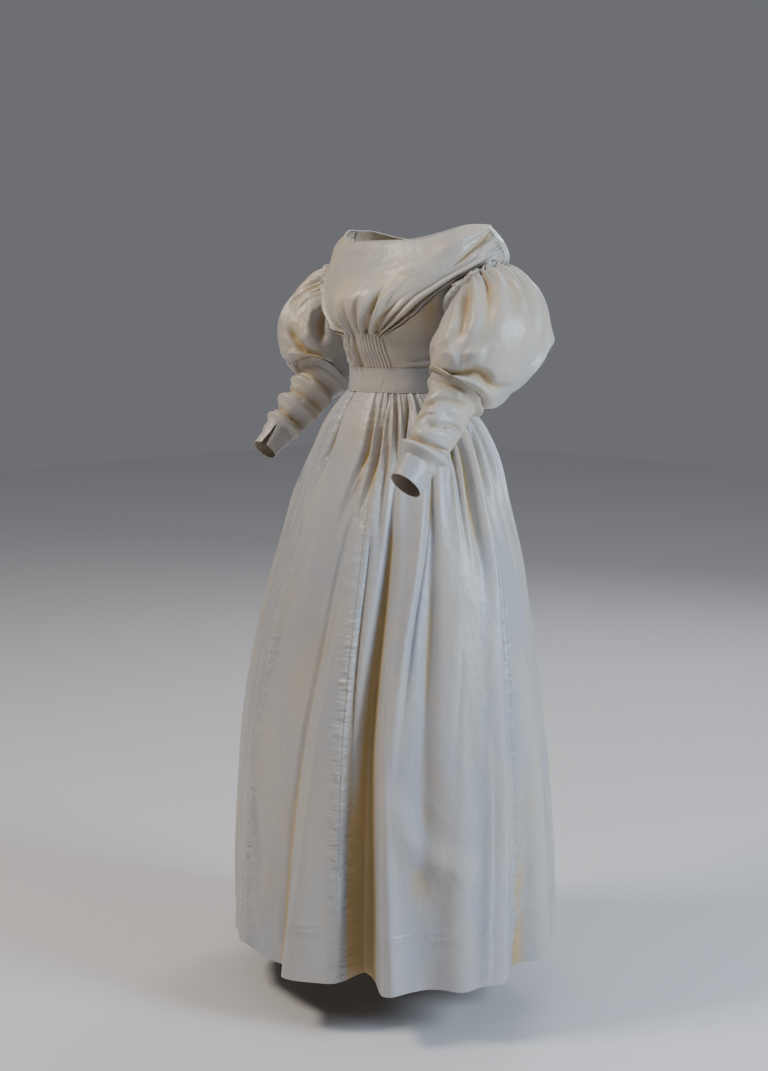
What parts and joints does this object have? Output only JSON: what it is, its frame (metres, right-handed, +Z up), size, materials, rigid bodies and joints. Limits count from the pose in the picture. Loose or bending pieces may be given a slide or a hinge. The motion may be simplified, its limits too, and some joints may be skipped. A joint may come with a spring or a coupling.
{
  "type": "wedding dress",
  "caption": "Worn, hollow silk dress with a gathered crossed bodice front, balloon sleeves over close forearms, a waistband and a full floor-length skirt.",
  "frame": {"origin": "at shoulder height, on the upright line over the middle of the waist", "axes": "+Z up, +X to the dress's own left, -Y to its front"},
  "size_m": [0.6975, 0.5881, 1.3317],
  "materials": {
    "bodice_silk": "cream silk with a soft satin sheen",
    "side_silk": "cream silk, a little warmer, smooth and close",
    "band_silk": "cream silk, doubled, faintly puckered",
    "sleeve_silk": "cream silk with a satin sheen",
    "skirt_silk": "cream silk with a satin sheen and a fine cross weave"
  },
  "bodies": {
    "root": {"fan_front": "bodice_silk", "side_front_l": "side_silk", "side_front_r": "side_silk", "back_l": "bodice_silk", "back_r": "bodice_silk", "waistband": "band_silk", "sleeve_balloon_l": "sleeve_silk", "sleeve_balloon_r": "sleeve_silk", "sleeve_forearm_l": "sleeve_silk", "sleeve_forearm_r": "sleeve_silk", "cuff_l": "band_silk", "cuff_r": "band_silk", "skirt_front": "skirt_silk", "skirt_side_l": "skirt_silk", "skirt_side_r": "skirt_silk", "skirt_back_l": "skirt_silk", "skirt_back_r": "skirt_silk"}
  },
  "joints": []
}
